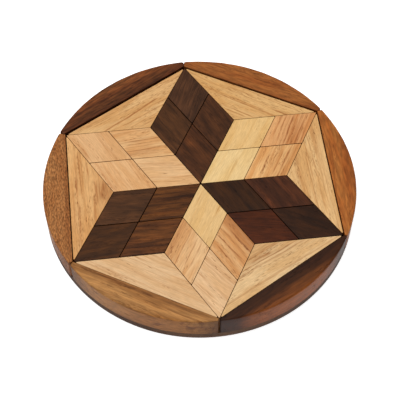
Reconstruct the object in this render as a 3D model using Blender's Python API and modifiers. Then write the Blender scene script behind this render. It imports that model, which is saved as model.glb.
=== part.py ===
"""Round tray puzzle in mixed woods: a six-pointed star of diamonds in a hexagonal recess.

The tray is a thin round base with six rim segments glued on top. Their straight inner sides leave a
hexagonal recess, and a short open notch where the ends of two segments meet. Loose in the recess lie
twenty-four equal diamonds, four to each point of the star (three dark points and three light ones by
turns), and six flat triangles that fill the bays between the points. Each loose piece lifts straight out.

Frame: metres, +Z up, origin at the centre of the base's underside, a dark point of the star along +Y.
"""

import math
import random

import bpy
from mathutils import Matrix, Vector

# Driving dimensions
DISC_DIAMETER = 0.136
TRAY_HEIGHT = 0.015
BASE_THICKNESS = 0.004
RECESS_RADIUS = 0.066  # from the middle of the hexagonal recess to a corner
RECESS_CENTRE = Vector((0.0002, -0.0012))  # the disc was sanded round a little off the recess's middle
RIM_SEAM = 0.0006  # open seam between the ends of two rim segments
RIM_TIP_RADIUS = 0.001  # rounds the outer corner of a rim segment's end, in plan, where it is wide enough
TIP_SHARE = 0.6  # of a narrow end's width, that the round may take
RECESS_PLAY = 0.0004  # between the pattern of loose pieces and the rim, on each side when centred
PIECE_GAP = 0.0004  # between two neighbouring loose pieces
PATTERN_SHIFT = Vector((0.00005, -0.0003))  # the loose pieces have slid a little together in the recess
SETTLE = 0.00004  # furthest that one piece sits off its own place, in x and in y
THICKNESS_SPREAD = 0.00006  # the loose pieces are sanded by hand, so their tops aren't quite level
SEAT_GAP = 0.0003  # under a loose piece and under a rim segment
EDGE_EASE = 0.0003  # sanded arrises
DISC_SIDES = 120  # a multiple of four, so that the base's corners stand under those of the rim's arcs
TIP_STEPS = 4
HAND_SEED = 7

# Worked out from them
DISC_RADIUS = DISC_DIAMETER / 2
APOTHEM = math.cos(math.radians(30))  # of a hexagon, for each unit of its corner radius
PATTERN_RADIUS = RECESS_RADIUS - RECESS_PLAY / APOTHEM
POINT_SIDE = PATTERN_RADIUS / math.sqrt(3)  # side of a star point's diamond of four
BLOCK_HEIGHT = TRAY_HEIGHT - BASE_THICKNESS - SEAT_GAP  # of a rim segment and of a loose piece

WOODS = {  # base colour, roughness
    "base_board": ((0.235, 0.089, 0.033), 0.60),
    "russet_rim": ((0.356, 0.114, 0.026), 0.42),
    "amber_rim": ((0.305, 0.105, 0.032), 0.42),
    "chocolate_rim": ((0.105, 0.040, 0.019), 0.42),
    "flecked_rim": ((0.342, 0.136, 0.045), 0.50),
    "tan_rim": ((0.361, 0.171, 0.060), 0.42),
    "walnut_rim": ((0.091, 0.036, 0.018), 0.42),
    "dark_rosewood": ((0.065, 0.026, 0.014), 0.42),
    "brown_rosewood": ((0.105, 0.040, 0.017), 0.42),
    "tan_rubberwood": ((0.658, 0.371, 0.150), 0.48),
    "peach_rubberwood": ((0.708, 0.397, 0.184), 0.48),
    "pale_rubberwood": ((0.768, 0.491, 0.209), 0.48),
    "orange_rubberwood": ((0.623, 0.309, 0.115), 0.48),
}
# Counter-clockwise from +X, as the rim segments are numbered
RIM_WOODS = ("russet_rim", "amber_rim", "chocolate_rim", "flecked_rim", "tan_rim", "walnut_rim")
# The star's points, counter-clockwise from +Y: the tone, and the woods where they aren't the tone's own
STAR_POINTS = (
    ("dark", {}),
    ("light", {}),
    ("dark", {"inner": "brown_rosewood", "left": "brown_rosewood"}),
    ("light", {"inner": "pale_rubberwood", "left": "orange_rubberwood", "right": "orange_rubberwood"}),
    ("dark", {}),
    ("light", {"inner": "pale_rubberwood", "left": "pale_rubberwood",
               "right": "orange_rubberwood", "tip": "orange_rubberwood"}),
)
TONE_WOODS = {"dark": "dark_rosewood", "light": "peach_rubberwood"}


def clear_scene():
    """Starts from an empty scene."""
    for obj in list(bpy.data.objects):
        bpy.data.objects.remove(obj)


def wood(name):
    """The material of one of the WOODS."""
    material = bpy.data.materials.get(name)
    if material:
        return material
    colour, roughness = WOODS[name]
    material = bpy.data.materials.new(name)
    material.use_nodes = True
    shader = material.node_tree.nodes["Principled BSDF"]
    shader.inputs["Base Color"].default_value = (*colour, 1.0)
    shader.inputs["Roughness"].default_value = roughness
    shader.inputs["Metallic"].default_value = 0.0
    return material


def ease_edges(obj):
    """Chamfers every sharp edge of obj, as sanding does, and leaves the facets of round walls alone."""
    bevel = obj.modifiers.new("ease", "BEVEL")
    bevel.width = EDGE_EASE
    bevel.segments = 1
    bevel.limit_method = "ANGLE"
    bevel.angle_limit = math.radians(30)


def flat_block(name, outline, height, material, collection):
    """A flat block of wood sawn to an outline, standing on the base, with its arrises eased.

    The outline's points are about the block's own centre.
    """
    curve = bpy.data.curves.new(name, "CURVE")
    curve.dimensions = "2D"
    curve.fill_mode = "BOTH"
    curve.extrude = height / 2
    spline = curve.splines.new("POLY")
    spline.points.add(len(outline) - 1)
    for point, (x, y) in zip(spline.points, outline):
        point.co = (x, y, 0.0, 1.0)
    spline.use_cyclic_u = True
    curve.materials.append(material)
    block = bpy.data.objects.new(name, curve)
    block.location.z = BASE_THICKNESS + SEAT_GAP + height / 2
    weld = block.modifiers.new("join_caps", "WELD")
    weld.merge_threshold = 0.00001
    ease_edges(block)
    collection.objects.link(block)
    return block


def on_circle(radius, degrees):
    """The point of a circle about the origin at an angle from +X."""
    return radius * Vector((math.cos(math.radians(degrees)), math.sin(math.radians(degrees))))


def shrunk(corners, incentre, inradius, inset):
    """Corners of the outline whose sides all lie inset further in, about its own incentre."""
    share = 1 - inset / inradius
    return [(corner - incentre) * share for corner in corners]


def diamond_outline():
    """One small diamond with its long diagonal along +X, half a gap inside its place on every side."""
    half_long = PATTERN_RADIUS / 4
    half_short = POINT_SIDE / 4
    corners = [Vector(c) for c in ((half_long, 0), (0, half_short), (-half_long, 0), (0, -half_short))]
    inradius = half_long * half_short / math.hypot(half_long, half_short)
    return shrunk(corners, Vector((0, 0)), inradius, PIECE_GAP / 2)


def triangle_outline():
    """(outline, incentre's distance from the middle) of a bay triangle whose long side faces +X."""
    corners = [on_circle(PATTERN_RADIUS, -30), on_circle(PATTERN_RADIUS, 30), Vector((POINT_SIDE, 0))]
    height = PATTERN_RADIUS * APOTHEM - POINT_SIDE
    inradius = PATTERN_RADIUS * height / (PATTERN_RADIUS + 2 * POINT_SIDE)
    reach = PATTERN_RADIUS * APOTHEM - inradius
    return shrunk(corners, Vector((reach, 0)), inradius, PIECE_GAP / 2), reach


def rim_end(centre):
    """(points of the outline, angle where the disc's arc ends) for a rim segment's end at +30 degrees.

    The segment faces +X about the disc's centre, and centre is the recess's middle. The end runs out
    from the recess's corner, half a seam to one side of it, and meets the disc's arc in a small round.
    The points run from the arc, round the tip, to the end of the chord.
    """
    outwards = on_circle(1, 30)
    inwards = on_circle(1, -60)  # from the end into the segment

    def reach(radius, inset):
        """How far out a line beside the end meets a circle about the disc's centre."""
        start = centre + inwards * inset
        along = start.dot(outwards)
        return math.sqrt(along**2 - start.length_squared + radius**2) - along

    half_seam = RIM_SEAM / 2
    chord_end = centre + Vector((RECESS_RADIUS * APOTHEM, RECESS_RADIUS / 2 - half_seam / APOTHEM))
    width = reach(DISC_RADIUS, half_seam) - (chord_end - centre).dot(outwards)
    round_radius = min(RIM_TIP_RADIUS, TIP_SHARE * width)
    inset = half_seam + round_radius
    middle = centre + inwards * inset + outwards * reach(DISC_RADIUS - round_radius, inset)
    arc_end = math.degrees(math.atan2(middle.y, middle.x))
    turns = [arc_end + (120 - arc_end) * n / TIP_STEPS for n in range(TIP_STEPS + 1)]
    return [middle + on_circle(round_radius, turn) for turn in turns] + [chord_end], arc_end


def rim_outline(side):
    """A rim segment about the disc's centre, turned to face +X: a chord inside, the disc's arc outside."""
    turn = Matrix.Rotation(math.radians(-60 * side), 2)
    centre = turn @ RECESS_CENTRE
    upper, upper_turn = rim_end(centre)
    lower, lower_turn = rim_end(Vector((centre.x, -centre.y)))
    step = 360 / DISC_SIDES
    turns = range(-int(lower_turn / step), int(upper_turn / step) + 1)
    arc = [on_circle(DISC_RADIUS, step * n) for n in turns]
    return arc + upper + [Vector((point.x, -point.y)) for point in reversed(lower)]


def build_base(collection):
    """The round base under everything."""
    bpy.ops.mesh.primitive_cylinder_add(
        vertices=DISC_SIDES, radius=DISC_RADIUS, depth=BASE_THICKNESS, location=(0, 0, BASE_THICKNESS / 2)
    )
    base = bpy.context.object
    base.name = "base_disc"
    base.data.materials.append(wood("base_board"))
    ease_edges(base)
    for owner in base.users_collection:
        owner.objects.unlink(base)
    collection.objects.link(base)


def build_rim(collection):
    """Six rim segments, each of its own wood, glued round the base with their flat sides inwards."""
    for side, wood_name in enumerate(RIM_WOODS):
        name = f"rim_segment_{side + 1}"
        segment = flat_block(name, rim_outline(side), BLOCK_HEIGHT, wood(wood_name), collection)
        segment.rotation_euler.z = math.radians(60 * side)


def lay_piece(name, outline, place, degrees, material, collection, hand):
    """One loose piece at its place in the pattern, turned, and a little off as a hand leaves it."""
    height = BLOCK_HEIGHT + hand.uniform(-THICKNESS_SPREAD, THICKNESS_SPREAD)
    piece = flat_block(name, outline, height, material, collection)
    settled = Vector((hand.uniform(-SETTLE, SETTLE), hand.uniform(-SETTLE, SETTLE)))
    piece.location.xy = RECESS_CENTRE + PATTERN_SHIFT + place + settled
    piece.rotation_euler.z = math.radians(degrees)


def build_triangles(collection, hand):
    """Six flat triangles, one in each bay of the star."""
    outline, reach = triangle_outline()
    for bay in range(6):
        degrees = 60 * bay
        name = f"bay_triangle_{bay + 1}"
        place = on_circle(reach, degrees)
        lay_piece(name, outline, place, degrees, wood("tan_rubberwood"), collection, hand)


def build_star(collection, hand):
    """The star's six points, dark and light by turns from +Y, each of four diamonds."""
    outline = diamond_outline()
    long_step, short_step = PATTERN_RADIUS / 4, POINT_SIDE / 4
    places = {  # steps out from the middle of the star, and to the left of that direction
        "inner": (1, 0),
        "left": (2, 1),
        "right": (2, -1),
        "tip": (3, 0),
    }
    for point, (tone, own_woods) in enumerate(STAR_POINTS):
        degrees = 90 + 60 * point
        for where, (out, left) in places.items():
            name = f"{tone}_diamond_{point // 2 + 1}_{where}"
            place = on_circle(out * long_step, degrees) + on_circle(left * short_step, degrees + 90)
            material = wood(own_woods.get(where, TONE_WOODS[tone]))
            lay_piece(name, outline, place, degrees, material, collection, hand)


def main():
    """Builds the tray and the loose pieces in a collection of their own."""
    clear_scene()
    puzzle = bpy.data.collections.new("star_tray_puzzle")
    bpy.context.scene.collection.children.link(puzzle)
    hand = random.Random(HAND_SEED)
    build_base(puzzle)
    build_rim(puzzle)
    build_triangles(puzzle, hand)
    build_star(puzzle, hand)


main()
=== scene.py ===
"""Looks of the star tray puzzle: sawn, sanded and oiled blocks of mixed hardwoods in a round tray."""

import logging
import math
from dataclasses import dataclass
from enum import Enum

import bpy
import numpy as np
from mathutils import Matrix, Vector


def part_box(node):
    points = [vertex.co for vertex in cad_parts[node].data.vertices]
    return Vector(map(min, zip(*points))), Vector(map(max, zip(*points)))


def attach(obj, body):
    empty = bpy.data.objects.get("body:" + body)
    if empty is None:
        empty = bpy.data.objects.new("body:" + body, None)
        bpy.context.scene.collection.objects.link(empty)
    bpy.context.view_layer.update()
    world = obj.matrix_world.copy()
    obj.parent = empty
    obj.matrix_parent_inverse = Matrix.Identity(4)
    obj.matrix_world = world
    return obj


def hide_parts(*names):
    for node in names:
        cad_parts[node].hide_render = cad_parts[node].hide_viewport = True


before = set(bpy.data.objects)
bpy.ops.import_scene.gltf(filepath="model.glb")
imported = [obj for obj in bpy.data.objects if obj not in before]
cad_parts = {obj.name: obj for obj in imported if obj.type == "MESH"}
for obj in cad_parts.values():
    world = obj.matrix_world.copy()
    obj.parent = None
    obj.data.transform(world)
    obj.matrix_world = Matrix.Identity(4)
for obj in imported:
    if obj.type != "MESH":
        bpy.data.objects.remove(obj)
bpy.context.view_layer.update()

log = logging.getLogger("star_tray_puzzle")

MM = 0.001
SHARP_ANGLE = math.radians(35)
CAP_WAY = (0.04, 0.1, 0.2, 0.35, 0.55, 0.8)  # a cap's rings, as shares of the way to its middle
ARRIS_STEPS = 5
WALL_RINGS = 3
EDGE_GRIME_AND_SHADE = (0.42, 0.33, 0.28)  # old oil and dust along an arris, and painted shade of the seam beside it


def linear(hex_colour: str) -> tuple[float, float, float, float]:
    """Turns an sRGB hex colour into linear RGBA.

    Args:
        hex_colour: Six hex digits after a hash.

    Returns:
        Linear red, green and blue, and an alpha of one.
    """
    shares = [int(hex_colour[start:start + 2], 16) / 255 for start in (1, 3, 5)]
    return (*[s / 12.92 if s <= 0.04045 else ((s + 0.055) / 1.055) ** 2.4 for s in shares], 1.0)


def on_circle(radius: float | np.ndarray, degrees: float | np.ndarray) -> np.ndarray:
    """Points of a circle about the origin, at angles from +X."""
    turn = np.radians(degrees)
    return np.stack([radius * np.cos(turn), radius * np.sin(turn)], axis=-1)


# ---------------------------------------------------------------- timber


@dataclass(frozen=True)
class Timber:
    """A sawn hardwood, sanded and rubbed with oil: a satin surface that shows every line of the grain.

    Each tint multiplies the plain wood's red, green and blue. Lengths are in millimetres.
    """

    name: str
    slot: str
    patch: tuple[float, float, float]  # soft patches along the grain
    line: tuple[float, float, float]  # growth lines, dark streaks and bands
    pore: tuple[float, float, float]  # open pores, filled with darker oil
    gleam: tuple[float, float, float] = (1.30, 1.34, 1.38)  # lighter streaks
    side: tuple[float, float, float] = (0.62, 0.48, 0.40)  # sawn sides: saw-burnt wood, with painted light and shade of upright faces
    end: tuple[float, float, float] = (0.62, 0.57, 0.52)  # sawn ends, which drink more oil; the tint also paints shade on the rims' walls
    line_spacing: float = 1.0
    line_share: float = 0.35
    pore_length: float = 2.4
    pore_width: float = 0.30
    pore_cover: float = 0.30
    pore_share: float = 0.8
    fibre: float = 0.10  # how far the fibres vary in brightness
    mottle: float = 0.05  # and short flecks of them
    fleck: tuple[float, float] = (2.6, 0.55)  # a fleck's length and width
    waver: float = 0.45  # how far the lines wander across the grain
    roughness: float = 0.46


class Wood(Enum):
    """The timbers of the puzzle."""

    # Sanded rubberwood: a matt, warm pale ground that gives the eye hair-thin brown pore dashes.
    PEACH = Timber("rubberwood_sanded_peach", "peach_rubberwood", patch=(0.92, 0.85, 0.76),
                   line=(0.66, 0.47, 0.32), pore=(0.42, 0.28, 0.20), line_share=0.32, pore_cover=0.22)
    PALE = Timber("rubberwood_sanded_pale", "pale_rubberwood", patch=(0.94, 0.89, 0.80),
                  line=(0.72, 0.56, 0.38), pore=(0.50, 0.36, 0.25), line_share=0.2, pore_cover=0.12)
    ORANGE = Timber("rubberwood_sanded_orange", "orange_rubberwood", patch=(0.86, 0.71, 0.57),
                    line=(0.52, 0.34, 0.24), pore=(0.36, 0.23, 0.16), line_share=0.4, pore_cover=0.3)
    TAN = Timber("rubberwood_sanded_tan", "tan_rubberwood", patch=(0.90, 0.81, 0.70),
                 line=(0.60, 0.42, 0.30), pore=(0.38, 0.25, 0.17), line_share=0.42, pore_cover=0.34,
                 mottle=0.07)
    # Oiled rosewood: a deep, even brown whose soft lighter and darker lines show only close up.
    DARK = Timber("rosewood_oiled_dark", "dark_rosewood", patch=(1.32, 1.30, 1.26),
                  line=(0.42, 0.40, 0.42), pore=(0.30, 0.30, 0.34), gleam=(1.70, 1.62, 1.50),
                  side=(0.6, 0.55, 0.55), line_spacing=1.3, line_share=0.5, pore_cover=0.35,
                  pore_share=0.65, fibre=0.28, mottle=0.18, fleck=(7.0, 2.8), roughness=0.42)
    BROWN = Timber("rosewood_oiled_brown", "brown_rosewood", patch=(0.76, 0.72, 0.70),
                   line=(0.42, 0.37, 0.38), pore=(0.30, 0.26, 0.28), gleam=(1.55, 1.50, 1.36),
                   side=(0.6, 0.55, 0.55), line_spacing=1.2, line_share=0.6, pore_cover=0.45,
                   pore_share=0.65, fibre=0.28, mottle=0.3, fleck=(11.0, 1.8), roughness=0.42)
    # Oiled tropical hardwoods of the rim: satin, straight in the grain, each with its own fleck.
    RUSSET = Timber("padauk_oiled_russet", "russet_rim", patch=(0.86, 0.70, 0.58),
                    line=(0.55, 0.42, 0.34), pore=(0.40, 0.28, 0.24), gleam=(1.35, 1.35, 1.3),
                    side=(0.85, 0.85, 0.9), line_spacing=0.9, line_share=0.35, fibre=0.16, mottle=0.2,
                    fleck=(5.0, 1.0))
    AMBER = Timber("merbau_oiled_amber", "amber_rim", patch=(0.84, 0.72, 0.62), line=(0.55, 0.44, 0.38),
                   pore=(0.42, 0.30, 0.26), gleam=(1.35, 1.35, 1.3), side=(0.85, 0.85, 0.9),
                   line_spacing=0.9, line_share=0.35, fibre=0.16, mottle=0.2, fleck=(5.0, 1.0))
    CHOCOLATE = Timber("rosewood_oiled_chocolate", "chocolate_rim", patch=(1.25, 1.12, 1.05),
                       line=(0.42, 0.38, 0.40), pore=(0.30, 0.28, 0.30), gleam=(1.5, 1.5, 1.4),
                       side=(0.9, 0.9, 0.95), line_spacing=1.4, line_share=0.6, fibre=0.2, mottle=0.32,
                       fleck=(6.0, 1.0), roughness=0.42)
    FLECKED = Timber("mahogany_oiled_flecked", "flecked_rim", patch=(0.88, 0.80, 0.72),
                     line=(0.60, 0.50, 0.42), pore=(0.46, 0.36, 0.28), gleam=(1.3, 1.3, 1.3),
                     side=(0.85, 0.85, 0.95), line_spacing=0.8, line_share=0.5, pore_length=1.8,
                     pore_width=0.5, pore_cover=0.7, pore_share=0.6, fibre=0.14, mottle=0.36,
                     fleck=(1.4, 0.5), waver=0.9, roughness=0.5)
    HONEY = Timber("monkeypod_oiled_tan", "tan_rim", patch=(0.84, 0.76, 0.66), line=(0.48, 0.38, 0.30),
                   pore=(0.36, 0.26, 0.20), gleam=(1.3, 1.3, 1.3), side=(0.84, 0.78, 0.66),
                   end=(0.36, 0.33, 0.3), line_spacing=1.6, line_share=0.75, fibre=0.14, mottle=0.16,
                   fleck=(6.0, 0.8))
    WALNUT = Timber("monkeypod_oiled_dark", "walnut_rim", patch=(0.88, 0.84, 0.84),
                    line=(0.20, 0.20, 0.24), pore=(0.22, 0.20, 0.22), gleam=(1.5, 1.5, 1.45),
                    side=(1.4, 1.28, 0.74), end=(0.55, 0.48, 0.36), line_spacing=1.4, line_share=0.3,
                    fibre=0.18, mottle=0.16, fleck=(6.0, 1.0), roughness=0.42)
    # The oiled board underneath: plain and dull, a dark and quiet foot for the rim.
    BASE = Timber("hardwood_board_oiled", "base_board", patch=(0.84, 0.76, 0.68),
                  line=(0.50, 0.42, 0.38), pore=(0.36, 0.28, 0.26), gleam=(1.3, 1.3, 1.3),
                  side=(0.9, 0.95, 1.0), line_spacing=1.2, fibre=0.14, mottle=0.1, roughness=0.55)


@dataclass(frozen=True)
class Streak:
    """One line of the figure, dark or light, in millimetres about the middle of its piece.

    Args:
        across: Its place, to the left of the grain's direction.
        start: Where it begins along the grain.
        end: Where it fades out.
        half_width: Half its width.
        share: How far it reaches the line's tint, or below zero, how far the gleam's.
        slope: Millimetres across for each millimetre along.
    """

    across: float
    start: float
    end: float
    half_width: float
    share: float
    slope: float = 0.0


@dataclass(frozen=True)
class Board:
    """How one piece was cut from its timber.

    Args:
        wood: The timber.
        ground: The plain wood's colour in this piece.
        grain: Direction of the grain, in degrees counter-clockwise from +X.
        streaks: The lines that stand out.
        bands: Broad tones: (millimetres to the left of the middle, share of the line's tint), in order.
        edge: How dark the arrises are painted: partly old oil and dust, partly painted shade of the seams
            beside them, and on the base a painted contact shadow.
        dark_edge_reach: How far in from the outline that reaches.
    """

    wood: Wood
    ground: str
    grain: float
    streaks: tuple[Streak, ...] = ()
    bands: tuple[tuple[float, float], ...] = ()
    edge: float = 0.2
    dark_edge_reach: float = 0.12


class TimberFinish:
    """Makes the material of one piece: its timber, turned along its own grain."""

    BAND_REACH = 14.0  # millimetres to either side of the middle that the bands cover
    FADE = 2.5  # millimetres over which a streak begins or ends
    IOR = 1.5
    SPECULAR = 0.1  # the oil has soaked in and leaves little gloss
    PORE_ROUGHNESS = 0.2  # what an open pore adds
    END_ROUGHNESS = 0.15  # what end grain adds
    RELIEF = 0.05 * MM  # how deep pores and fibres reach
    RELIEF_SHARE = 0.4

    def __init__(self, name: str, board: Board, middle: np.ndarray, number: int) -> None:
        """Keeps what the material depends on.

        Args:
            name: The piece's name.
            board: How the piece was cut.
            middle: The piece's middle in the plane, in metres.
            number: The piece's place in the making, which gives it its own part of the log.
        """
        self.board = board
        self.timber = board.wood.value
        self.middle = middle
        self.number = number
        self.material = bpy.data.materials.new(f"{self.timber.name}_{name}")
        self.material.use_nodes = True
        self.tree = self.material.node_tree

    def add(self, kind: str, inputs: dict, output: int | str = 0, **settings: str) -> bpy.types.NodeSocket:
        """Adds a node, sets it, and links or sets its inputs.

        Args:
            kind: The node's type, without its common prefix.
            inputs: Sockets by name or number, each with a value or another node's output.
            output: The output to return.
            **settings: Attributes of the node.

        Returns:
            That output of the new node.
        """
        node = self.tree.nodes.new(f"ShaderNode{kind}")
        for key, value in settings.items():
            setattr(node, key, value)
        for key, value in inputs.items():
            if isinstance(value, bpy.types.NodeSocket):
                self.tree.links.new(value, node.inputs[key])
            else:
                node.inputs[key].default_value = value
        return node.outputs[output]

    def math(self, operation: str, *values: bpy.types.NodeSocket | float) -> bpy.types.NodeSocket:
        """One step of arithmetic."""
        return self.add("Math", dict(enumerate(values)), operation=operation)

    def ramp(self, value: bpy.types.NodeSocket, low: float, high: float, to_low: float = 0.0,
             to_high: float = 1.0, kind: str = "SMOOTHSTEP") -> bpy.types.NodeSocket:
        """Maps low..high to to_low..to_high, and holds the ends."""
        limits = {"From Min": low, "From Max": high, "To Min": to_low, "To Max": to_high}
        return self.add("MapRange", {"Value": value, **limits}, interpolation_type=kind)

    def noise(self, place: bpy.types.NodeSocket, size: tuple[float, float, float], seed: int,
              detail: float = 2.0) -> bpy.types.NodeSocket:
        """Noise whose features measure size, in millimetres along, across and through the board.

        Each seed, and each piece, has its own part of it.
        """
        shift = (seed * 7.3 + self.number * 11.7, seed * 3.1 + self.number * 5.3, seed * 5.9)
        scaled = self.add("Mapping", {"Vector": place, "Scale": [1 / s for s in size], "Location": shift})
        return self.add("TexNoise", {"Vector": scaled, "Scale": 1.0, "Detail": detail, "Roughness": 0.55})

    def tinted(self, share: bpy.types.NodeSocket, under: bpy.types.NodeSocket | tuple,
               tint: tuple[float, float, float]) -> bpy.types.NodeSocket:
        """Stains a colour with a tint by a share."""
        stained = self.add("Mix", {0: 1.0, 6: under, 7: (*tint, 1.0)}, 2, data_type="RGBA",
                           blend_type="MULTIPLY")
        return self.add("Mix", {0: share, 6: under, 7: stained}, 2, data_type="RGBA")

    def grain_place(self) -> tuple[bpy.types.NodeSocket, bpy.types.NodeSocket, bpy.types.NodeSocket]:
        """Where a point lies in the board, in millimetres along, across and through it.

        The lines wander: a slow noise shifts every point across the grain, and a quicker one a little.

        Returns:
            The wandered place, its distance along the grain, and its distance across.
        """
        waver = self.timber.waver
        grain = math.radians(self.board.grain)
        cos, sin = math.cos(grain), math.sin(grain)
        x, y = self.middle / MM
        objects = self.add("TexCoord", {}, "Object")
        plain = self.add("Mapping", {"Vector": objects, "Scale": (1 / MM,) * 3, "Rotation": (0, 0, -grain),
                                     "Location": (-x * cos - y * sin, x * sin - y * cos, 0.0)})
        slow = self.noise(plain, (24, 10, 9), 1, detail=1.0)
        quick = self.noise(plain, (6, 2.5, 4), 2, detail=1.0)
        along = self.add("SeparateXYZ", {0: plain}, 0)
        straight = self.add("SeparateXYZ", {0: plain}, 1)
        through = self.add("SeparateXYZ", {0: plain}, 2)
        leant = self.math("MULTIPLY_ADD", self.math("SUBTRACT", slow, 0.5), 4 * waver, straight)
        across = self.math("MULTIPLY_ADD", self.math("SUBTRACT", quick, 0.5), waver, leant)
        return self.add("CombineXYZ", {0: along, 1: across, 2: through}), along, across

    def streak(self, streak: Streak, along: bpy.types.NodeSocket,
               across: bpy.types.NodeSocket) -> bpy.types.NodeSocket:
        """How strongly a point lies in one streak: a soft tent across, and a window along the grain."""
        centre = self.math("MULTIPLY_ADD", along, streak.slope, streak.across)
        aside = self.math("ABSOLUTE", self.math("SUBTRACT", across, centre))
        width = self.ramp(aside, 0.0, streak.half_width * 1.5, abs(streak.share), 0.0)
        middle, reach = (streak.start + streak.end) / 2, (streak.end - streak.start) / 2
        ahead = self.math("ABSOLUTE", self.math("SUBTRACT", along, middle))
        window = self.ramp(ahead, reach - self.FADE, reach + self.FADE, 1.0, 0.0)
        return self.math("MULTIPLY", width, window)

    def figure(self, place: bpy.types.NodeSocket, along: bpy.types.NodeSocket,
               across: bpy.types.NodeSocket) -> tuple[bpy.types.NodeSocket | float, ...]:
        """The streaks that stand out, broken up a little along the grain.

        Returns:
            The shares of the line's tint and of the gleam's.
        """
        shares = []
        for sign in (1, -1):
            chosen = [s for s in self.board.streaks if s.share * sign > 0]
            if not chosen:
                shares.append(0.0)
                continue
            strongest = self.streak(chosen[0], along, across)
            for other in chosen[1:]:
                strongest = self.math("MAXIMUM", strongest, self.streak(other, along, across))
            broken = self.ramp(self.noise(place, (5, 0.7, 2), 3), 0.36, 0.56, 0.45, 1.0)
            shares.append(self.math("MULTIPLY", strongest, broken))
        return tuple(shares)

    def bands(self, across: bpy.types.NodeSocket) -> bpy.types.NodeSocket | float:
        """Broad tones across the grain, as a ramp over the distance from the middle."""
        stops = self.board.bands
        if not stops:
            return 0.0
        reach = self.BAND_REACH
        ramp = self.add("ValToRGB", {0: self.ramp(across, -reach, reach, kind="LINEAR")})
        elements = ramp.node.color_ramp.elements
        for _ in range(len(stops) - len(elements)):
            elements.new(0.5)
        for element, (place, dark) in zip(elements, stops):
            element.position = (place + reach) / (2 * reach)
            element.color = (dark, dark, dark, 1.0)
        return ramp

    def pores(self, place: bpy.types.NodeSocket) -> bpy.types.NodeSocket:
        """Open pores: short dashes along the grain, in loose rows.

        Returns:
            How deep in a pore a point is, from 0 to 1.
        """
        timber = self.timber
        size = (timber.pore_length, timber.pore_width, timber.pore_width)
        scaled = self.add("Mapping", {"Vector": place, "Scale": [1 / s for s in size],
                                      "Location": (self.number * 3.7, self.number * 9.1, 0.0)})
        dash = self.ramp(self.add("TexVoronoi", {"Vector": scaled, "Scale": 1.0}), 0.20, 0.45, 1.0, 0.0)
        rows = self.noise(place, (14, 1.6, 3), 4)
        edge = 0.68 - 0.5 * timber.pore_cover
        return self.math("MULTIPLY", dash, self.ramp(rows, edge, edge + 0.08))

    def end_grain(self) -> bpy.types.NodeSocket:
        """How squarely a face cuts the fibres, which drink more oil there: the cosine, squared. Its tint
        also paints shade on the walls.
        """
        grain = math.radians(self.board.grain)
        normal = self.add("TexCoord", {}, "Normal")
        cosine = self.add("VectorMath", {0: normal, 1: (math.cos(grain), math.sin(grain), 0.0)}, "Value",
                          operation="DOT_PRODUCT")
        return self.math("MULTIPLY", cosine, cosine)

    def side_face(self) -> bpy.types.NodeSocket:
        """How far a face is from lying flat, from 0 on a top to 1 on a side."""
        upright = self.add("SeparateXYZ", {0: self.add("TexCoord", {}, "Normal")}, 2)
        return self.ramp(self.math("ABSOLUTE", upright), 0.15, 0.9, 1.0, 0.0)

    def build(self) -> bpy.types.Material:
        """Puts the timber together: patches, growth lines, figure, pores, fibres, sides and arrises, whose
        tints also paint light and shade.
        """
        timber = self.timber
        place, along, across = self.grain_place()
        patches = self.ramp(self.noise(place, (28, 5, 9), 5), 0.38, 0.62)
        wood = self.tinted(patches, linear(self.board.ground), timber.patch)
        wood = self.tinted(self.bands(across), wood, timber.line)
        lines = self.ramp(self.noise(place, (80, timber.line_spacing, 5), 6, detail=3.0), 0.52, 0.66,
                          0.0, timber.line_share)
        wood = self.tinted(lines, wood, timber.line)
        dark, light = self.figure(place, along, across)
        wood = self.tinted(dark, wood, timber.line)
        wood = self.tinted(light, wood, timber.gleam)
        pores = self.pores(place)
        wood = self.tinted(self.math("MULTIPLY", pores, timber.pore_share), wood, timber.pore)
        fibres = self.noise(place, (5, 0.16, 0.3), 7)
        fine = self.ramp(fibres, 0.3, 0.7, 1 - timber.fibre, 1 + timber.fibre)
        flecks = self.ramp(self.noise(place, (*timber.fleck, 1.0), 8, detail=1.0), 0.32, 0.68,
                           1 - timber.mottle, 1 + timber.mottle)
        wood = self.add("HueSaturation", {"Color": wood, "Value": self.math("MULTIPLY", fine, flecks)})
        end, side = self.end_grain(), self.side_face()
        # Upright faces are tinted by how far they tilt: partly their own sawn tone, partly painted light
        # and shade of the walls.
        wood = self.tinted(side, wood, timber.side)
        # End grain darkens: partly more oil soaked in, partly painted shade of the walls.
        wood = self.tinted(self.ramp(end, 0.0, 0.3, 0.0, 0.95), wood, timber.end)
        # Painted shade along every arris, darkest at the seams between pieces, with old oil and dust in
        # part; on the base it paints a contact shadow.
        inset = self.add("Attribute", {}, "Fac", attribute_name="inset_mm")
        wood = self.tinted(self.ramp(inset, 0.02, self.board.dark_edge_reach, self.board.edge, 0.0), wood, EDGE_GRIME_AND_SHADE)

        shader = self.tree.nodes["Principled BSDF"]
        self.tree.links.new(wood, shader.inputs["Base Color"])
        open_pores = self.math("MULTIPLY_ADD", pores, self.PORE_ROUGHNESS, timber.roughness)
        rough = self.math("MULTIPLY_ADD", end, self.END_ROUGHNESS, open_pores)
        self.tree.links.new(rough, shader.inputs["Roughness"])
        shader.inputs["IOR"].default_value = self.IOR
        shader.inputs["Specular IOR Level"].default_value = self.SPECULAR
        hollow = self.math("MULTIPLY_ADD", pores, -0.8, fibres)
        relief = self.math("MULTIPLY_ADD", lines, -0.6, hollow)
        bump = self.add("Bump", {"Height": relief, "Strength": self.RELIEF_SHARE, "Distance": self.RELIEF})
        self.tree.links.new(bump, shader.inputs["Normal"])
        return self.material


# ---------------------------------------------------------------- surfaces


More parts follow.
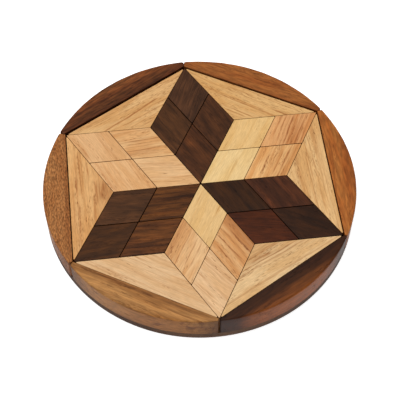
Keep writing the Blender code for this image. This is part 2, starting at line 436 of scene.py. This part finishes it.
def rounded_outline(corners: np.ndarray, radii: float | np.ndarray, steps: int) -> np.ndarray:
    """A convex polygon's outline with each corner rounded.

    Formula: an arc's centre lies on the corner's bisector, the radius over the sine of half the corner's
    angle away. Its points run from the normal of the side before the corner to that of the side after.

    Args:
        corners: (n, 2) corners, counter-clockwise.
        radii: Radius of every arc, or of each, in metres.
        steps: Edges of each arc.

    Returns:
        (n * (steps + 1), 2) points, counter-clockwise.
    """
    before = np.roll(corners, 1, axis=0) - corners
    after = np.roll(corners, -1, axis=0) - corners
    before /= np.linalg.norm(before, axis=1, keepdims=True)
    after /= np.linalg.norm(after, axis=1, keepdims=True)
    bisector = before + after
    bisector /= np.linalg.norm(bisector, axis=1, keepdims=True)
    half_angle = np.arccos(np.clip((before * after).sum(axis=1), -1, 1)) / 2
    radii = np.broadcast_to(radii, half_angle.shape)
    centres = corners + bisector * (radii / np.sin(half_angle))[:, None]
    start = np.arctan2(before[:, 0], -before[:, 1])
    turns = start[:, None] + (np.pi - 2 * half_angle)[:, None] * np.linspace(0, 1, steps + 1)
    arcs = centres[:, None] + radii[:, None, None] * np.stack([np.cos(turns), np.sin(turns)], axis=-1)
    return arcs.reshape(-1, 2)


def respaced(outline: np.ndarray, spacing: float) -> np.ndarray:
    """Adds points to a closed outline wherever two lie further apart than the spacing.

    Formula: each edge is cut into equal parts, as many as it holds spacings, rounded up.
    """
    edges = np.roll(outline, -1, axis=0) - outline
    parts = np.ceil(np.linalg.norm(edges, axis=1) / spacing).astype(int).clip(1)
    owner = np.repeat(np.arange(len(outline)), parts)
    step = np.arange(len(owner)) - np.repeat(np.cumsum(parts) - parts, parts)
    return outline[owner] + edges[owner] * (step / parts[owner])[:, None]


def outward(outline: np.ndarray) -> np.ndarray:
    """Unit normals of a counter-clockwise outline: the line of two neighbours, turned by a right angle."""
    ahead = np.roll(outline, -1, axis=0) - np.roll(outline, 1, axis=0)
    normal = np.stack([ahead[:, 1], -ahead[:, 0]], axis=-1)
    return normal / np.linalg.norm(normal, axis=1, keepdims=True)


def hand_sanded(points: np.ndarray, seed: int) -> np.ndarray:
    """How unevenly sandpaper went round an outline: three waves of seeded phases, from about -1 to 1."""
    phases = np.random.default_rng(seed).uniform(0, 2 * np.pi, (3, 1))
    lengths = np.array([[23.0], [9.0], [4.1]]) * MM
    slant = np.array([[0.8, 0.6], [0.3, -0.9], [-0.7, 0.5]])
    return np.sin(2 * np.pi * (slant @ points.T) / lengths + phases).mean(axis=0)


def closed_skin(name: str, rings: np.ndarray, poles: np.ndarray, inset: np.ndarray) -> bpy.types.Object:
    """A closed body of rings of points, each joined to the next, with a fan to a pole at either end.

    The rings run counter-clockwise from the underside to the top, so the faces look outwards.

    Args:
        name: The piece's name.
        rings: (rows, columns, 3) points, where each row closes round.
        poles: (2, 3) points that close the first row and the last.
        inset: (rows, columns) distances in from the piece's outline, in metres.

    Returns:
        The piece, with the distances in millimetres in the attribute "inset_mm".
    """
    rows, columns, _ = rings.shape
    points = np.concatenate([rings.reshape(-1, 3), poles])
    index = np.arange(rows * columns).reshape(rows, columns)
    here, onward = index[:-1], index[1:]
    quads = np.stack([here, np.roll(here, -1, 1), np.roll(onward, -1, 1), onward], -1).reshape(-1, 4)
    first = np.stack([np.roll(index[0], -1), index[0], np.full(columns, rows * columns)], -1)
    last = np.stack([index[-1], np.roll(index[-1], -1), np.full(columns, rows * columns + 1)], -1)
    mesh = bpy.data.meshes.new(name)
    mesh.from_pydata(points.tolist(), [], [*quads.tolist(), *first.tolist(), *last.tolist()])
    layer = mesh.attributes.new("inset_mm", "FLOAT", "POINT")
    deep = inset.max()
    layer.data.foreach_set("value", (np.append(inset, [deep, deep]) / MM).astype(np.float32))
    mesh.shade_smooth()
    mesh.set_sharp_from_angle(angle=SHARP_ANGLE)
    piece = bpy.data.objects.new(name, mesh)
    bpy.context.scene.collection.objects.link(piece)
    return piece


def block(name: str, outline: np.ndarray, middle: np.ndarray, heights: tuple[float, float],
          ease: np.ndarray, chamfer: float, crown: float) -> bpy.types.Object:
    """A sanded block: its edge's section carried round an outline, and flat caps drawn in to a middle.

    Formula: the section is a small chamfer below, the wall, and a quarter circle above whose radius is
    the ease at that point of the outline, laid off along the outline's inward normal. The top's rings
    then run straight from there to the middle. The top falls by the crown's depth times the square of
    one minus the share of the way.

    Args:
        name: The piece's name.
        outline: (columns, 2) points, counter-clockwise.
        middle: The point that the caps are drawn in to.
        heights: Heights of the underside and of the top.
        ease: (columns) radius of the upper arris.
        chamfer: Width of the lower one.
        crown: How far the top falls from its middle to its edge.

    Returns:
        The piece.
    """
    low, high = heights
    inward = -outward(outline)
    turn = np.linspace(0, np.pi / 2, ARRIS_STEPS + 1)[:, None]
    wall = np.linspace(low + chamfer + 0 * ease, high - crown - ease, WALL_RINGS + 1)[:-1]
    sweep = high - crown - ease + ease * np.sin(turn)
    height = np.concatenate([np.full((1, len(ease)), low), wall, sweep])
    inset = np.concatenate([np.full((1, len(ease)), chamfer), 0 * wall, ease * (1 - np.cos(turn))])
    edge = outline + inset[..., None] * inward
    way = np.array(CAP_WAY)[:, None, None]
    cap = edge[-1] + way * (middle - edge[-1])
    cap_height = high - crown * (1 - way[..., 0]) ** 2 + 0 * ease
    cap_inset = ease + way[..., 0] * np.linalg.norm(middle - edge[-1], axis=1)
    plane = np.concatenate([edge, cap])
    height = np.concatenate([height, cap_height])
    rings = np.concatenate([plane, height[..., None]], axis=-1)
    return closed_skin(name, rings, np.array([[*middle, low], [*middle, high]]),
                       np.concatenate([inset, cap_inset]))


# ---------------------------------------------------------------- pieces


class Workshop:
    """Dresses finished pieces and hands them over, one by one."""

    def __init__(self) -> None:
        """Starts with nothing made."""
        self.made = 0

    def hand_over(self, piece: bpy.types.Object, node: str, body: str, board: Board,
                  middle: np.ndarray) -> None:
        """Gives a piece its material and its body, and hides the solid it stands for.

        Args:
            piece: The finished piece.
            node: The CAD node it replaces.
            body: The body it moves with.
            board: How it was cut.
            middle: Its middle in the plane.
        """
        finish = TimberFinish(node, board, middle, self.made)
        piece.data.materials.append(finish.build())
        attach(piece, body)
        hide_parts(node)
        self.made += 1
        log.info("%s: %d faces, %s", piece.name, len(piece.data.polygons), board.wood.value.name)


@dataclass(frozen=True)
class Pattern:
    """The hexagonal field of loose pieces: where its middle is, and how far its corners reach."""

    centre: np.ndarray
    radius: float

    @classmethod
    def measured(cls) -> "Pattern":
        """Finds the field from the solids of the star's diamonds.

        Opposite points of the star lie evenly about the middle. The middles of a point's inner and tip
        diamonds lie a quarter and three quarters of the way out.
        """
        middles = {name: sum(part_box(name), Vector()) / 2 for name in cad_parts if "diamond" in name}
        centre = np.array([(m.x, m.y) for m in middles.values()]).mean(axis=0)
        tips = np.array([(m.x, m.y) for name, m in middles.items() if name.endswith("tip")])
        inners = np.array([(m.x, m.y) for name, m in middles.items() if name.endswith("inner")])
        reach = sum(np.linalg.norm(some - centre, axis=1).mean() for some in (tips, inners))
        return cls(centre, reach)


@dataclass
class LooseBlocks:
    """The loose pieces: flat blocks whose sides all touch one circle."""

    workshop: Workshop
    pattern: Pattern
    gap: float = 0.2 * MM  # between neighbours
    dark_gap: float = 0.32 * MM  # between the rosewood ones, which have shrunk more
    corner_radius: float = 0.3 * MM
    ease: float = 0.1 * MM
    chamfer: float = 0.15 * MM
    crown: float = 0.03 * MM
    spacing: float = 0.5 * MM
    unevenness: float = 0.35  # of the upper arris, sanded by hand

    def lay(self, node: str, corners: np.ndarray, board: Board) -> None:
        """Makes one loose block from the corners of its share of the field.

        Formula: the block's outline is its share, drawn in by half the gap. Because every side touches
        the circle about the incentre, that is the share scaled about it. A diamond's incentre is its
        corners' mean. A triangle's is that mean with each corner weighted by its opposite side's length.

        Args:
            node: The CAD node it replaces.
            corners: (3 or 4, 2) corners, counter-clockwise.
            board: How it was cut.
        """
        count = len(corners)
        sides = np.linalg.norm(np.roll(corners, -1, axis=0) - corners, axis=1)
        weights = np.roll(sides, -1) if count == 3 else np.ones(count)
        centre = (corners * weights[:, None]).sum(axis=0) / weights.sum()
        side = corners[1] - corners[0]
        offset = centre - corners[0]
        inradius = abs(side[0] * offset[1] - side[1] * offset[0]) / np.linalg.norm(side)
        gap = self.dark_gap if board.wood in (Wood.DARK, Wood.BROWN) else self.gap
        own = centre + (corners - centre) * (1 - gap / 2 / inradius)
        outline = respaced(rounded_outline(own, self.corner_radius, 5), self.spacing)
        low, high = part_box(node)
        ease = self.ease * (1 + self.unevenness * hand_sanded(outline, self.workshop.made))
        piece = block(f"{node}_block", outline, centre, (low.z, high.z), ease, self.chamfer, self.crown)
        self.workshop.hand_over(piece, node, node, board, centre)


@dataclass
class Star(LooseBlocks):
    """The six-pointed star: each point is a diamond cut into four small ones."""

    def build(self, boards: dict[str, Board]) -> None:
        """Lays the 24 small diamonds.

        Formula: a point's four middles lie at a quarter, a half and three quarters of the way out, the
        two at a half being one short half-diagonal to either side. Each small diamond reaches a quarter
        of the field's radius along the point, and that over the square root of three across.

        Args:
            boards: Each piece's board by its node.
        """
        reach = self.pattern.radius / 4
        steps = {"inner": (1, 0), "left": (2, 1), "right": (2, -1), "tip": (3, 0)}
        for point in range(6):
            degrees = 90 + 60 * point
            ahead, left = on_circle(reach, degrees), on_circle(reach / math.sqrt(3), degrees + 90)
            for place, (forward, aside) in steps.items():
                node = f"{('dark', 'light')[point % 2]}_diamond_{point // 2 + 1}_{place}"
                middle = self.pattern.centre + forward * ahead + aside * left
                corners = middle + np.stack([-ahead, -left, ahead, left])
                self.lay(node, corners, boards[node])


@dataclass
class Bays(LooseBlocks):
    """The six flat triangles between the star's points."""

    def build(self, boards: dict[str, Board]) -> None:
        """Lays the triangles.

        Formula: a triangle's corners are two neighbouring corners of the field and, between them, the
        inner corner of two points of the star, at the field's radius over the square root of three.

        Args:
            boards: Each piece's board by its node.
        """
        radius = self.pattern.radius
        for number in range(6):
            node = f"bay_triangle_{number + 1}"
            degrees = 60 * number + np.array([-30, 30, 0])
            reach = radius * np.array([1, 1, 1 / math.sqrt(3)])
            self.lay(node, self.pattern.centre + on_circle(reach, degrees), boards[node])


@dataclass
class Tray:
    """The tray that everything lies in: a round base and six rim segments glued on it."""

    workshop: Workshop
    glue_line: float = 0.02 * MM
    seam: float = 0.06 * MM  # between two segments, where the glue has pulled them together
    open_seams: tuple[tuple[int, float], ...] = ((270, 0.55 * MM), (210, 0.2 * MM))  # where it has not
    swollen: tuple[float, ...] = (-0.1, -0.25, -0.45, 0.1, 0.15, 0.0)  # each segment into the recess, in mm
    arc_ease: float = 0.9 * MM  # the rim's outer arris, well rounded by hand
    chord_ease: float = 0.15 * MM
    base_ease: float = 0.6 * MM
    base_top_ease: float = 0.02 * MM
    base_rings: tuple[float, ...] = (0.5, 0.8, 0.95)  # shares of the radius
    tip_radius: float = 1.0 * MM
    tip_share: float = 0.6  # of a narrow end's width, and an arris's of the tip's radius
    tip_reach: float = 2 * MM  # how far in from an end its tip's radius counts
    ease_reach: float = 9 * MM  # how far in from an end the arris is full
    chord_reach: float = 0.2 * MM  # what lies within this of the chord's line belongs to it
    unevenness: float = 0.15  # of the arris, sanded by hand
    foot: float = 0.01 * MM  # the lower arris
    arc_steps: int = 130

    def __post_init__(self) -> None:
        """Reads the disc and the recess from their solids.

        Two opposite chords lie an apothem to either side of the recess's middle, and the chord ends
        nearest to +X lie evenly above and below it.
        """
        low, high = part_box("base_disc")
        self.radius = (high.x - low.x) / 2
        self.base_heights = (low.z, high.z)
        boxes = {number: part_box(f"rim_segment_{number}") for number in (1, 2, 4, 6)}
        self.rim_top = boxes[1][1].z
        right, left = boxes[1][0].x, boxes[4][1].x
        self.apothem = (right - left) / 2
        self.centre = np.array([right + left, boxes[2][0].y + boxes[6][1].y]) / 2

    def build(self, boards: dict[str, Board]) -> None:
        """Makes the base and the six segments."""
        self.build_base(boards["base_disc"])
        for number in range(6):
            node = f"rim_segment_{number + 1}"
            apothem = self.apothem - self.swollen[number] * MM
            self.build_segment(node, 60.0 * number, apothem, boards[node])

    def build_base(self, board: Board) -> None:
        """The round base: its section turned about the middle.

        Formula: the section goes out along the underside, round a quarter circle of radius base_ease,
        up the wall, and back in along the top.
        """
        low, high = self.base_heights
        turn = np.linspace(-np.pi / 2, 0, 7)
        round_in = self.radius - self.base_ease * (1 - np.cos(turn))
        round_up = low + self.base_ease * (1 + np.sin(turn))
        flat = self.radius * np.array(self.base_rings)
        wall = [self.radius, self.radius, self.radius - self.base_top_ease]
        reach = np.concatenate([flat, round_in, wall, flat[::-1]])
        climb = [(low + high) / 2, high - self.base_top_ease, high]
        height = np.concatenate([0 * flat + low, round_up, climb, 0 * flat + high])
        plane = on_circle(reach[:, None], np.linspace(0, 360, 361)[None, :-1])
        rings = np.concatenate([plane, np.broadcast_to(height[:, None, None], (*plane.shape[:2], 1))], -1)
        inset = np.broadcast_to(self.radius - reach[:, None], plane.shape[:2])
        piece = closed_skin("base_disc_board", rings, np.array([[0, 0, low], [0, 0, high]]), inset)
        self.workshop.hand_over(piece, "base_disc", "tray", board, np.zeros(2))

    def segment_end(self, centre: np.ndarray, apothem: float,
                    seam: float) -> tuple[np.ndarray, np.ndarray, float, float]:
        """The end at +30 degrees of a segment that faces +X.

        Formula: the end runs out along a seam, half the seam's width beside the ray from the recess's
        corner. A small circle touches both that line and, from within, the disc's.

        Args:
            centre: The recess's middle, with the disc's at the origin.
            apothem: From there to the chord.
            seam: The seam's width.

        Returns:
            The end's round, from the disc's arc to the seam; the end of the chord; the round's radius;
            and the angle where the disc's arc stops.
        """
        outwards, inwards = on_circle(1.0, 30), on_circle(1.0, -60)

        def reach(radius: float, inset: float) -> float:
            """How far out a line beside the ray meets a circle about the disc's middle."""
            start = centre + inwards * inset
            along = start @ outwards
            return math.sqrt(along ** 2 - start @ start + radius ** 2) - along

        apothem_share = math.cos(math.pi / 6)
        half_seam = seam / 2
        corner = apothem / apothem_share / 2
        chord_end = centre + np.array([apothem, corner - half_seam / apothem_share])
        width = reach(self.radius, half_seam) - (chord_end - centre) @ outwards
        radius = min(self.tip_radius, self.tip_share * width)
        inset = half_seam + radius
        middle = centre + inwards * inset + outwards * reach(self.radius - radius, inset)
        stop = math.degrees(math.atan2(middle[1], middle[0]))
        return middle + on_circle(radius, np.linspace(stop, 120, 9)), chord_end, radius, stop

    def build_segment(self, node: str, degrees: float, apothem: float, board: Board) -> None:
        """One rim segment: a chord inside, the disc's arc outside, and a small round at either tip.

        Formula: the arris is wide on the arc, narrow on the chord, and no wider at a tip than its round
        allows.

        Args:
            node: The CAD node it replaces.
            degrees: Where it faces, from +X.
            apothem: From the recess's middle to its chord.
            board: How it was cut.
        """
        out, aside = on_circle(1.0, degrees), on_circle(1.0, degrees + 90)
        centre = np.array([self.centre @ out, self.centre @ aside])
        mirror = np.array([1.0, -1.0])
        seams = [dict(self.open_seams).get((degrees + side) % 360, self.seam) for side in (30, -30)]
        upper, upper_chord, upper_round, upper_stop = self.segment_end(centre, apothem, seams[0])
        lower, lower_chord, lower_round, lower_stop = self.segment_end(centre * mirror, apothem, seams[1])
        arc = on_circle(self.radius, np.linspace(-lower_stop, upper_stop, self.arc_steps))
        straight = np.linspace(upper_chord, lower_chord * mirror, self.arc_steps)
        flat = np.concatenate([arc, upper[1:], straight, lower[:0:-1] * mirror])
        tip = np.interp(flat[:, 1], [flat[:, 1].min() + self.tip_reach, flat[:, 1].max() - self.tip_reach],
                        [lower_round, upper_round])
        far = flat[:, 0] - straight[0, 0]
        beside = np.minimum(flat[:, 1] - flat[:, 1].min(), flat[:, 1].max() - flat[:, 1])
        full = np.where(far > self.chord_reach, self.arc_ease, self.chord_ease)
        narrow = np.minimum(full, self.tip_share * tip)
        ease = narrow + (full - narrow) * np.clip(beside / self.ease_reach, 0, 1)
        ease = ease * (1 + self.unevenness * hand_sanded(flat, self.workshop.made))
        turn = np.stack([out, aside])
        heights = (self.base_heights[1] + self.glue_line, self.rim_top)
        middle = np.array([(self.radius + straight[0, 0]) / 2, 0.0]) @ turn
        piece = block(f"{node}_block", flat @ turn, middle, heights, ease, self.foot, 0.0)
        self.workshop.hand_over(piece, node, "tray", board, middle)


# ---------------------------------------------------------------- studio


@dataclass
class Studio:
    """A white table, soft light from above and the camera."""

    pattern: Pattern
    floor_size: float = 12.0
    aim: tuple[float, float] = (-1.25 * MM, -8.45 * MM)  # from the field's middle
    azimuth: float = -6.6  # degrees, as is the elevation
    elevation: float = 56.9
    distance: float = 0.4523
    lens: float = 94.9
    sky: float = 0.48
    floor_gap: float = 0.05 * MM  # below the tray
    floor_glow: float = 0.6
    floor_lines: int = 9
    lamp_place: tuple[float, float, float] = (-0.15, 0.1, 1.2)
    lamp_size: float = 1.2
    lamp_power: float = 10.6

    def build(self) -> None:
        """Sets up floor, light and camera."""
        scene = bpy.context.scene
        scene.view_settings.view_transform = "Standard"
        self.build_floor()
        self.build_light(scene)
        self.build_camera(scene)

    def build_floor(self) -> None:
        """A flat square grid in a pale laminate that glows a little, and is clear from below.

        Being clear from below, it lets the underside of the tray be looked at.
        """
        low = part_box("base_disc")[0].z - self.floor_gap
        lines = self.floor_lines
        steps = np.linspace(-self.floor_size / 2, self.floor_size / 2, lines)
        grid = np.stack([*np.meshgrid(steps, steps), np.full((lines, lines), low)], axis=-1).reshape(-1, 3)
        index = np.arange(lines ** 2).reshape(lines, lines)
        quads = np.stack([index[:-1, :-1], index[:-1, 1:], index[1:, 1:], index[1:, :-1]], -1)
        mesh = bpy.data.meshes.new("floor")
        mesh.from_pydata(grid.tolist(), [], quads.reshape(-1, 4).tolist())
        floor = bpy.data.objects.new("floor", mesh)
        bpy.context.scene.collection.objects.link(floor)
        material = bpy.data.materials.new("laminate_white_matt")
        material.use_nodes = True
        shader = material.node_tree.nodes["Principled BSDF"]
        shader.inputs["Base Color"].default_value = linear("#f2f2f2")
        shader.inputs["Roughness"].default_value = 0.7
        shader.inputs["Specular IOR Level"].default_value = 0.0
        shader.inputs["Emission Color"].default_value = linear("#ffffff")
        shader.inputs["Emission Strength"].default_value = self.floor_glow
        tree = material.node_tree
        mix = tree.nodes.new("ShaderNodeMixShader")
        clear = tree.nodes.new("ShaderNodeBsdfTransparent")
        sides = tree.nodes.new("ShaderNodeNewGeometry")
        output = next(node for node in tree.nodes if node.bl_idname == "ShaderNodeOutputMaterial")
        for start, end in ((sides.outputs["Backfacing"], mix.inputs[0]), (shader.outputs[0], mix.inputs[1]),
                           (clear.outputs[0], mix.inputs[2]), (mix.outputs[0], output.inputs[0])):
            tree.links.new(start, end)
        mesh.materials.append(material)

    def build_light(self, scene: bpy.types.Scene) -> None:
        """A white sky and one large soft box above, a little behind the object."""
        world = bpy.data.worlds.new("white_sky")
        world.use_nodes = True
        background = world.node_tree.nodes["Background"]
        background.inputs["Color"].default_value = linear("#ffffff")
        background.inputs["Strength"].default_value = self.sky
        scene.world = world
        light = bpy.data.lights.new("soft_box", "AREA")
        light.shape = "DISK"
        light.size = self.lamp_size
        light.energy = self.lamp_power
        lamp = bpy.data.objects.new("soft_box", light)
        lamp.location = self.lamp_place
        lamp.rotation_euler = Vector(lamp.location).to_track_quat("Z", "Y").to_euler()
        scene.collection.objects.link(lamp)

    def build_camera(self, scene: bpy.types.Scene) -> None:
        """The camera: from its aim on the top surface, back along its azimuth and elevation."""
        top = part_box("rim_segment_1")[1].z
        aim = Vector((*(self.pattern.centre + np.array(self.aim)), top))
        turn, rise = math.radians(self.azimuth), math.radians(self.elevation)
        back = Vector((math.sin(turn) * math.cos(rise), -math.cos(turn) * math.cos(rise), math.sin(rise)))
        data = bpy.data.cameras.new("camera")
        data.sensor_width = 36.0
        data.lens = self.lens
        camera = bpy.data.objects.new("camera", data)
        camera.location = aim + back * self.distance
        camera.rotation_euler = back.to_track_quat("Z", "Y").to_euler()
        scene.collection.objects.link(camera)
        scene.camera = camera


# ---------------------------------------------------------------- the puzzle's boards

# Timber, ground colour and direction of the grain, then the streaks and broad tones of that board alone
BOARDS = {
    # The base's wall and foot are darkened strongly: a painted contact shadow.
    "base_disc": Board(Wood.BASE, "#7f5e40", 0, edge=0.9, dark_edge_reach=1.3),
    "rim_segment_1": Board(Wood.RUSSET, "#a6652d", 90, (
        Streak(-2.5, 5, 18, 1.6, 0.35), Streak(2.0, -25, -5, 0.4, 0.4), Streak(-1.0, -18, 2, 0.3, 0.4)),
        bands=((-4.0, 0.65), (-2.0, 0.25), (0.0, 0.0))),
    # Its darker band toward the chord is painted shade of the seam beside it.
    "rim_segment_2": Board(Wood.AMBER, "#975a29", 150, (
        Streak(2.0, -20, -6, 0.9, -0.35), Streak(-1.5, 2, 16, 1.1, -0.3), Streak(0.5, -4, 10, 0.3, 0.5)),
        bands=((3.0, 0.0), (5.5, 0.25))),
    "rim_segment_3": Board(Wood.CHOCOLATE, "#6c3e1d", 30, (
        Streak(-0.5, -20, 15, 0.5, 0.45), Streak(1.5, -8, 20, 0.9, -0.25)),
        bands=((-5.5, 1.0), (-2.8, 0.7), (0.5, 0.25), (3.0, 0.0))),
    "rim_segment_4": Board(Wood.FLECKED, "#a26b3b", 90, bands=((-5.0, 0.15), (3.0, 0.0))),
    "rim_segment_5": Board(Wood.HONEY, "#ab7945", 150, (
        Streak(-3.6, -6, 14, 0.55, 1.0), Streak(-4.2, 8, 28, 0.5, 1.0), Streak(-4.0, -30, -8, 0.8, 0.6),
        Streak(0.8, -22, 20, 0.9, -0.4), Streak(-0.8, -24, 4, 0.5, 0.45), Streak(2.6, -16, 16, 0.5, 0.35)),
        bands=((-5.5, 0.4), (-3.0, 0.3), (-1.5, 0.0), (1.5, 0.0), (4.5, 0.22))),
    "rim_segment_6": Board(Wood.WALNUT, "#713d16", 30, (Streak(-0.3, -14, 18, 0.5, -0.15),),
                           bands=((-3.2, 0.0), (-1.5, 0.25), (0.5, 0.9), (5.0, 1.0))),
    "dark_diamond_1_inner": Board(Wood.DARK, "#45250f", 120, (Streak(-1.0, 4, 10, 2.0, -0.9),)),
    "dark_diamond_1_left": Board(Wood.DARK, "#452812", 120),
    "dark_diamond_1_right": Board(Wood.DARK, "#412410", 116),
    "dark_diamond_1_tip": Board(Wood.DARK, "#412716", 68, (
        Streak(2.5, -6, 6, 0.5, -0.4), Streak(-2.0, -7, 3, 0.5, -0.35))),
    "dark_diamond_2_inner": Board(Wood.BROWN, "#603713", 0, (Streak(-5.0, -9, 9, 1.2, -0.8),),
                                  bands=((-1.0, 0.0), (2.0, 0.8), (4.0, 0.2))),
    "dark_diamond_2_left": Board(Wood.BROWN, "#5c3312", 0, (Streak(0.0, -5, 5, 1.8, -0.35),)),
    "dark_diamond_2_right": Board(Wood.DARK, "#462913", -4),
    "dark_diamond_2_tip": Board(Wood.DARK, "#3f2209", 4),
    "dark_diamond_3_inner": Board(Wood.DARK, "#311906", 120),
    "dark_diamond_3_left": Board(Wood.DARK, "#452310", 120, (
        Streak(6.0, -8, 8, 0.9, -1.0), Streak(-3.5, -8, 8, 1.3, -0.9), Streak(-2.0, -6, 8, 0.3, 0.9)),
        bands=((0.0, 0.1), (3.0, 0.8), (5.0, 0.1))),
    "dark_diamond_3_right": Board(Wood.DARK, "#3f1a05", 170),
    "dark_diamond_3_tip": Board(Wood.DARK, "#2c1505", 150),
    "light_diamond_1_inner": Board(Wood.PEACH, "#ddb281", -4, (
        Streak(4.0, -9, 0, 1.0, 0.3), Streak(-5.6, -8, 6, 0.25, 0.7))),
    "light_diamond_1_left": Board(Wood.PEACH, "#dcac79", 117, (
        Streak(7.0, -6, 6, 0.6, 0.6), Streak(-5.5, -7, 7, 0.3, 0.5))),
    "light_diamond_1_right": Board(Wood.ORANGE, "#dbad78", 3, (
        Streak(2.0, -6, 8, 0.3, 0.8), Streak(0.0, -6, 8, 0.25, 0.7), Streak(-3.5, -8, 5, 0.3, 0.8),
        Streak(-5.0, -9, 7, 2.0, 0.35))),
    "light_diamond_1_tip": Board(Wood.PEACH, "#d9aa78", 117, (
        Streak(7.0, -3, 4, 0.6, 0.6), Streak(-2.0, -5, 4, 0.4, 0.5))),
    "light_diamond_2_inner": Board(Wood.PALE, "#ddb67d", 62, (
        Streak(-4.0, 2, 8, 0.3, 0.7), Streak(6.0, 4, 9, 0.4, 0.6))),
    "light_diamond_2_left": Board(Wood.ORANGE, "#ddad77", 120, (
        Streak(5.0, -8, 4, 0.4, 0.8), Streak(1.0, -7, 8, 0.35, 0.9, 0.06), Streak(-2.0, -6, 8, 0.5, 0.7),
        Streak(-4.5, -8, 5, 0.35, 0.8)), bands=((-7.0, 0.65), (-4.5, 0.45), (-3.0, 0.1), (6.0, 0.15))),
    "light_diamond_2_right": Board(Wood.ORANGE, "#deb381", 61, (
        Streak(2.3, -8, 8, 0.25, 0.8), Streak(-1.5, -6, 6, 0.25, 0.7), Streak(-4.0, -7, 5, 0.4, 0.6)),
        bands=((2.5, 0.0), (4.0, 0.12), (7.0, 0.15))),
    "light_diamond_2_tip": Board(Wood.PEACH, "#deb689", 128, (
        Streak(5.0, -5, 5, 0.5, 0.5), Streak(1.0, 4, 9, 0.3, 0.8))),
    "light_diamond_3_inner": Board(Wood.PALE, "#e3c188", 58, (Streak(-1.5, -4, 4, 0.35, 0.4),)),
    "light_diamond_3_left": Board(Wood.PALE, "#dfb77b", 58),
    "light_diamond_3_right": Board(Wood.ORANGE, "#e5b479", 61, (
        Streak(2.8, -9, 1, 0.5, 0.8), Streak(-2.0, -6, 6, 0.3, 0.8), Streak(-4.5, -9, 9, 0.4, 1.0),
        Streak(-6.0, -7, 4, 0.4, 0.6)), bands=((-6.0, 0.2), (2.0, 0.1), (4.0, 0.0))),
    "light_diamond_3_tip": Board(Wood.ORANGE, "#dea76f", 63, (
        Streak(5.0, -5, 6, 0.35, 0.7), Streak(3.0, -7, 7, 0.35, 0.8), Streak(0.0, -9, 9, 0.45, 1.0),
        Streak(-1.8, -8, 6, 0.4, 0.8), Streak(-4.5, -7, 6, 0.35, 0.7), Streak(-6.5, -5, 3, 0.4, 0.6)),
        bands=((-5.0, 0.2), (0.0, 0.25), (6.0, 0.1))),
    "bay_triangle_1": Board(Wood.TAN, "#daaf78", 92, (
        Streak(0.0, -22, 10, 0.3, 0.6), Streak(-1.0, -6, 18, 0.3, 0.6), Streak(-3.0, -18, 8, 0.35, 0.5),
        Streak(4.5, -14, 14, 1.6, 0.35))),
    "bay_triangle_2": Board(Wood.TAN, "#d6a96f", 145, (
        Streak(6.0, -4, 5, 0.35, 0.8), Streak(4.5, -8, 8, 0.35, 0.8), Streak(0.0, -18, 12, 0.35, 0.8),
        Streak(-1.0, -10, 20, 0.3, 0.7), Streak(-3.5, -25, -15, 0.6, 1.0), Streak(-6.0, -3, 10, 0.4, 0.7))),
    "bay_triangle_3": Board(Wood.TAN, "#d6a972", 28, (
        Streak(0.8, -18, 12, 0.5, 1.0, 0.10), Streak(-2.5, -10, 16, 0.3, 0.7),
        Streak(-5.0, -6, 8, 0.35, 0.6), Streak(-7.0, -4, 4, 0.3, 0.6))),
    "bay_triangle_4": Board(Wood.TAN, "#d7a56c", 91, (
        Streak(7.0, -18, 6, 0.35, 0.6), Streak(5.0, -25, -5, 0.6, 0.6), Streak(3.5, 0, 22, 0.35, 0.8),
        Streak(0.0, 10, 15, 0.4, 0.9), Streak(-1.5, -14, 0, 0.5, 0.6), Streak(-2.8, -5, 6, 0.7, 1.0),
        Streak(-5.5, -3, 5, 2.0, 0.9), Streak(5.5, 1, 8, 0.5, 1.0)), bands=((-7.0, 0.35), (-1.0, 0.0))),
    "bay_triangle_5": Board(Wood.PEACH, "#dab386", 148, (
        Streak(-2.0, -20, 16, 0.25, 0.5), Streak(-3.5, 6, 12, 0.3, 0.9))),
    "bay_triangle_6": Board(Wood.TAN, "#dcb887", 28, (
        Streak(3.5, -7, 3, 0.8, 0.9), Streak(5.5, -10, 8, 0.5, 0.8), Streak(2.0, -14, 12, 0.35, 0.8),
        Streak(0.5, -20, 18, 0.3, 0.6)), bands=((-2.0, 0.0), (1.0, 0.15), (6.0, 0.25))),
}


def main() -> None:
    """Builds tray, star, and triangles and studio."""
    logging.basicConfig(level=logging.INFO, format="%(message)s")
    workshop = Workshop()
    pattern = Pattern.measured()
    Tray(workshop).build(BOARDS)
    Star(workshop, pattern).build(BOARDS)
    Bays(workshop, pattern).build(BOARDS)
    Studio(pattern).build()


if __name__ == "__main__":
    main()
